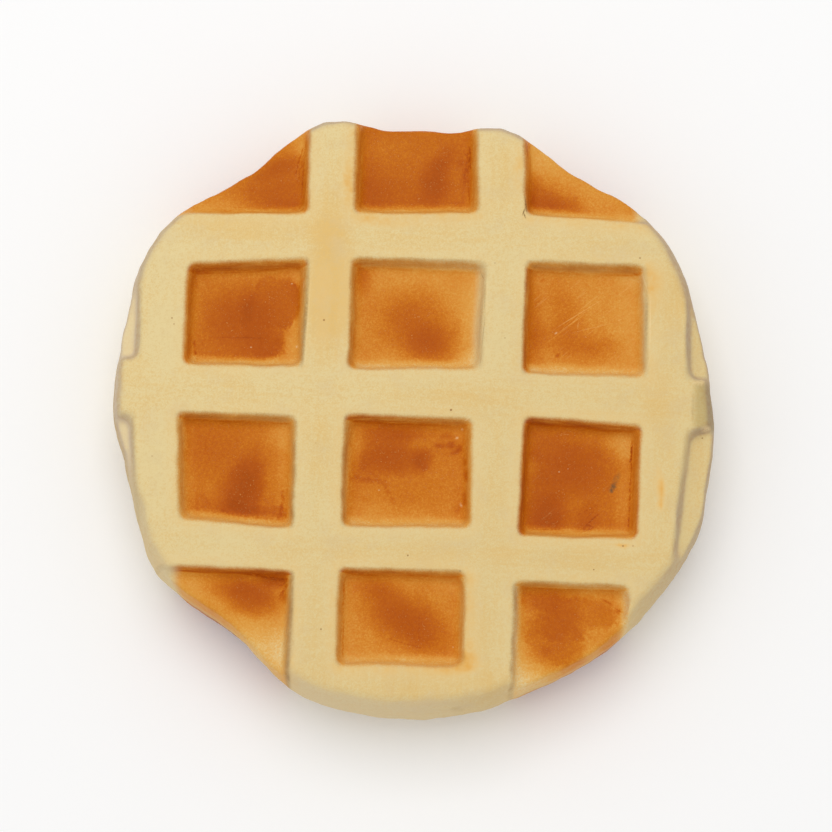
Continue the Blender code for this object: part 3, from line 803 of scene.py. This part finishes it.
# the paint's density on the floor of a well
density = calc("MULTIPLY_ADD", layerOf("paint"), finish["thicker"], finish["atLeast"])
ragged, wobble = swings("edge"), swings("pool")
inside = plus(layerOf("inside"), ragged)
reach = layerOf("reach")
cover = times(spread(inside, *finish["paintEdge"], smooth=True), reach, layerOf("covered"))
patchy = spread(noise["patches"], *parts["patchy"])
softness = spread(patchy, 0.0, 1.0, *finish["edgeSoftness"])
drift = plus(swings("drift"), wobble)
for name in ("poolOne", "poolTwo"):
    depth = plus(layerOf(name), drift)
    width = times(layerOf(name + "Edge"), softness)
    filled = spread(depth, times(width, -1.0), width, smooth=True)
    wet = closeTo(width, depth, 0.0, finish["wetEdge"], smooth=False)
    wet = times(wet, patchy, finish["wetEdgeGain"])
    density = plus(density, times(plus(filled, wet), layerOf(name + "Gain")))
stroke = closeTo(0.0, calc("MULTIPLY_ADD", wobble, 0.9, layerOf("strokeSide")), *finish["strokeEdge"])
stroke = times(stroke, layerOf("strokeGain"), spread(fine, *parts["strokes"]))
density = plus(density, stroke)

# each wall has its own tone of paint, and a grey cast of painted shade; a thin dark line lies at the foot of
# the far one
shadeAmount = 0.0
for side, wall in finish["walls"].items():
    gap = calc("MULTIPLY_ADD", ragged, wall["ragged"], layerOf(side))
    share = calc("SUBTRACT", 1.0, spread(gap, *wall["edge"], smooth=True))
    tone = times(layerOf(side + "Tone"), spread(gap, 0.0, finish["lipDepth"], wall["lip"], 1.0))
    streaks = swings("alongX" if side in ("near", "far") else "alongY")
    less = calc("SUBTRACT", calc("MULTIPLY_ADD", tone, streaks, tone), density)
    density = calc("MULTIPLY_ADD", less, share, density)
    middle, inner, outer = wall["shadeBand"]
    band = closeTo(middle, gap, inner, outer)
    shadeAmount = calc("MAXIMUM", shadeAmount, times(band, layerOf(side + "Shade")))
    if side == "far":
        foot = times(closeTo(finish["footAt"], gap, *finish["footEdge"]), patchy)
        density = calc("MULTIPLY_ADD", foot, finish["footGain"], density)
density = calc("MAXIMUM", plus(density, swings("density")), 0.0)
haze = times(layerOf("haze"), spread(lumps, *parts["haze"]))

# the cream rubber under it, brushed along the ribs
turned = addNode("ShaderNodeMix", data_type="FLOAT")
for number, value in ((0, layerOf("ribAcross")), (2, noise["brushedY"]), (3, noise["brushedX"])):
    feed(turned.inputs[number], value)
noise["brushed"] = turned.outputs[0]
warm = plus(times(layerOf("warmth"), 0.75), calc("MULTIPLY_ADD", noise["broad"], 0.9, -0.25))
warm = calc("MINIMUM", plus(warm, swings("warmth")), 1.0)
cream = blendColours(calc("MAXIMUM", warm, 0.0), tints["paleCream"], tints["warmCream"])
grainy = calc("MULTIPLY_ADD", fine, 0.5, times(dust, 0.5))
streaky = times(spread(noise["brushedX"], *parts["streaky"]), layerOf("rim"))
# the lighter cream on the near side of the rim and in the left slots is painted light
for share, tint, kind in ((spread(noise["dusty"], *parts["dusty"]), "dustyCream", "MIX"),
                          (layerOf("dim"), "dimTint", "MULTIPLY"),
                          (spread(grainy, *parts["grainy"]), "shadeCream", "MIX"),
                          (streaky, "rimStreak", "MIX"),
                          (times(layerOf("paintedLight"), 0.7), "chalkCream", "MIX"),
                          (layerOf("khaki"), "khakiTint", "MULTIPLY")):
    cream = blendColours(share, cream, tints[tint], kind)
cream = blendColours(spread(haze, 0.0, finish["hazeHides"]), cream, paintColour(haze))
flecks = times(spread(dust, *parts["flecks"]), spread(lumps, *parts["fleckPlaces"]))
paint = blendColours(flecks, paintColour(density), tints["fleck"])
colour = blendColours(cover, cream, paint)

# light scratches through the paint
scratched = times(spread(noise["scratches"], *parts["scratches"]), spread(lumps, *parts["scratchPlaces"]),
                  layerOf("scratches"), finish["scratchGain"])
colour = blendColours(scratched, colour, tints["scratch"])

# painted shade: the rolled side of the rim is darkened with a cool blue-grey cast, and a grey line of painted
# shade lies along some walls
colour = blendColours(layerOf("rim"), colour, tints["rimTint"], "MULTIPLY")
grimy = times(shadeAmount, reach, spread(lumps, *parts["grime"]), spread(inside, *finish["grimeEdge"]))
grime = blendColours(layerOf("covered"), tints["slotShadeTint"], tints["grimeTint"])
colour = blendColours(grimy, colour, grime)

# pinholes, specks, then the marks
cells = addNode("ShaderNodeTexVoronoi", feature="F1")
cells.inputs["Scale"].default_value = finish["holes"]
feed(cells.inputs["Vector"], place)
parted = addNode("ShaderNodeSeparateColor")
feed(parted.inputs[0], cells.outputs["Color"])
chosen = calc("GREATER_THAN", parted.outputs[0], finish["holeShare"])
size = spread(parted.outputs[1], 0.0, 1.0, *finish["holeSize"])
holes = calc("SUBTRACT", 1.0, spread(cells.outputs["Distance"], times(size, 0.5), size))
holes = times(chosen, holes, spread(cover, 0.0, 1.0, 1.0, 0.1))
specks = times(holes, finish["holeTone"])
for pixelX, pixelY, radius, strength in finish["specks"]:
    gap = addNode("ShaderNodeVectorMath", operation="DISTANCE")
    feed(gap.inputs[0], place)
    gap.inputs[1].default_value = onFace(pixelX, pixelY) * mm
    dot = spread(gap.outputs["Value"], radius * 0.4 * mm, radius * 1.3 * mm, strength, 0.0)
    specks = calc("MAXIMUM", specks, dot)
colour = blendColours(specks, colour, tints["speck"])
crumbs = spread(spread(noise["crumbs"], *parts["crumbs"]), 0.0, 1.0, finish["leastWorn"], 1.0)
frayed = swings("mark")
for pixelX, pixelY, reachX, reachY, lean, strength, tint, height in finish["marks"]:
    bend = moved(place, {"Location": onFace(pixelX, pixelY, height=height) * mm,
                         "Rotation": (0.0, 0.0, math.radians(lean)),
                         "Scale": (reachX * mm, reachY * mm, finish["markHeight"] * mm)}, kind="TEXTURE")
    gap = addNode("ShaderNodeVectorMath", operation="LENGTH")
    feed(gap.inputs[0], bend)
    worn = plus(gap.outputs["Value"], frayed)
    marked = times(spread(worn, *finish["markEdge"], strength, 0.0), crumbs)
    colour = blendColours(marked, colour, tints[tint])

# sheen of the dried paint, and the skin of the casting
noise["holes"] = holes
bump = addNode("ShaderNodeBump")
bump.inputs["Strength"].default_value = finish["reliefStrength"]
bump.inputs["Distance"].default_value = finish["reliefDepth"] * mm
feed(bump.inputs["Height"], swings("relief"))
sheen = spread(cover, 0.0, 1.0, finish["roughCream"], finish["roughPaint"])
shader = tree.nodes["Principled BSDF"]
for name, value in (("Base Color", colour), ("Roughness", plus(sheen, swings("rough"))),
                    ("Normal", bump.outputs["Normal"]), ("Specular IOR Level", finish["gloss"])):
    feed(shader.inputs[name], value)

waffle.data.materials.clear()
waffle.data.materials.append(rubber)
makeActive(waffle)
bpy.ops.object.shade_smooth()
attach(waffle, "root")
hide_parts("toy_waffle")
print("stage: waffle finished")


# the pale floor and soft studio light

studio = {
    "floorSize": 3.0, "floorTint": (0.97, 0.97, 0.97, 1.0), "floorRough": 0.9,
    "skyTint": (1.0, 1.0, 1.0, 1.0), "sky": 0.70,
    # each lamp: place, size, watts, tint
    "lamps": {"key": ((-0.05, 0.28, 0.85), 0.6, 2.6, (1.0, 0.99, 0.975)),
              "fill": ((-0.6, -0.3, 0.7), 0.9, 0.5, (0.97, 0.985, 1.0))},
}

deselectAll()
bpy.ops.mesh.primitive_plane_add(size=studio["floorSize"], location=(0, 0, 0))
floor = bpy.context.object
floor.name = "pale_floor"
floorPaper = bpy.data.materials.new("pale_paper")
floorPaper.use_nodes = True
paper = floorPaper.node_tree.nodes["Principled BSDF"]
paper.inputs["Base Color"].default_value = studio["floorTint"]
paper.inputs["Roughness"].default_value = studio["floorRough"]
paper.inputs["Specular IOR Level"].default_value = 0.0
floor.data.materials.append(floorPaper)

for name, (spot, size, watts, tint) in studio["lamps"].items():
    toCentre = Vector((0, 0, thickness / 2 * mm)) - Vector(spot)
    facing = toCentre.to_track_quat("-Z", "Y").to_euler()
    bpy.ops.object.light_add(type="AREA", location=spot, rotation=facing)
    lamp = bpy.context.object
    lamp.name = name + "_lamp"
    lamp.data.shape = "SQUARE"
    lamp.data.size = size
    lamp.data.energy = watts
    lamp.data.color = tint

sky = bpy.data.worlds.new("studio_sky")
sky.use_nodes = True
sky.node_tree.nodes["Background"].inputs[0].default_value = studio["skyTint"]
sky.node_tree.nodes["Background"].inputs[1].default_value = studio["sky"]
bpy.context.scene.world = sky
bpy.context.scene.view_settings.view_transform = "Standard"
deselectAll()
print("stage: lit")
